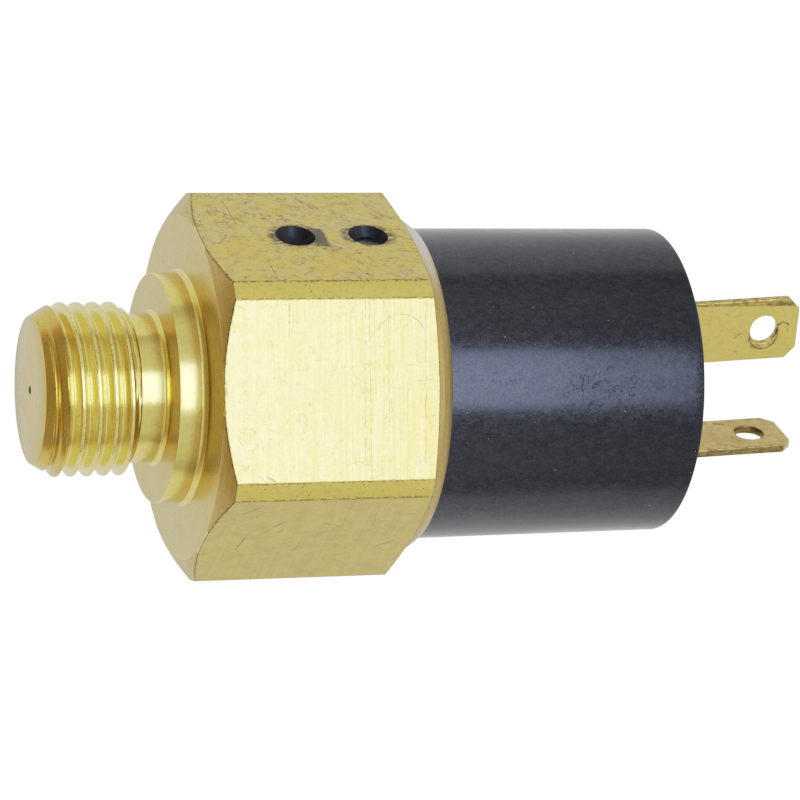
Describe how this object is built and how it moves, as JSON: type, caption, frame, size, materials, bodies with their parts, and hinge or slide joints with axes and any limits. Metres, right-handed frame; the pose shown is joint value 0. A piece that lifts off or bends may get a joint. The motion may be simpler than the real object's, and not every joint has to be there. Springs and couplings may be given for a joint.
{
  "type": "pressure switch",
  "caption": "Pressure switch: threaded brass hexagon body with a sprung diaphragm piston, black housing crimped into it, flat blade terminals.",
  "frame": {"origin": "on the switch axis, in the plane of the collar's sealing face", "axes": "+X along the switch axis from the pressure port to the blade terminals; +Z is the normal of the hexagon flat opposite the one the switch lies on"},
  "size_m": [0.0753, 0.036, 0.032],
  "materials": {
    "brass": "machined",
    "plain_brass": "satin",
    "terminal_brass": "stamped, slightly soiled",
    "spring_brass": "rolled",
    "contact_metal": "polished",
    "steel": "turned",
    "spring_steel": "bright",
    "seal_rubber": "matt",
    "sealant": "semi-gloss",
    "insulator": "matt",
    "housing_plastic": "satin"
  },
  "bodies": {
    "case": {"body": "brass", "sealing_plug_front": "sealant", "sealing_plug_rear": "sealant", "diaphragm_seal": "seal_rubber", "diaphragm": "spring_steel", "guide_sleeve": "steel", "range_spring": "spring_steel", "adjusting_nut": "plain_brass", "backing_ring": "steel", "insulating_disc": "insulator", "housing_seal": "seal_rubber", "housing": "housing_plastic", "potting_compound": "sealant", "terminal_radial": "terminal_brass", "terminal_tangential": "terminal_brass", "arm_rivet": "plain_brass", "fixed_contact": "contact_metal"},
    "plunger": {"piston": "steel", "spring_seat": "steel", "push_rod": "insulator"},
    "contact_leaf": {"contact_arm": "spring_brass", "moving_contact": "contact_metal"}
  },
  "joints": [
    {"name": "plunger_slide", "type": "slide", "parent": "case", "child": "plunger", "axis": [1, 0, 0], "range_m": [0, 0.0005], "stiffness_N_per_m": 2000, "springref_m": -0.001, "deforming": ["range_spring", "diaphragm"]},
    {"name": "arm_flex", "type": "hinge", "parent": "case", "child": "contact_leaf", "pos_m": [0.03315, -0.0079, -0.0034], "axis": [0, 0.3955, -0.9184], "range_deg": [0, 3.33], "deforming": ["contact_arm"]}
  ],
  "couplings": [
    {"joint": "arm_flex", "follows": "plunger_slide", "rad_per_m": 116.28}
  ]
}
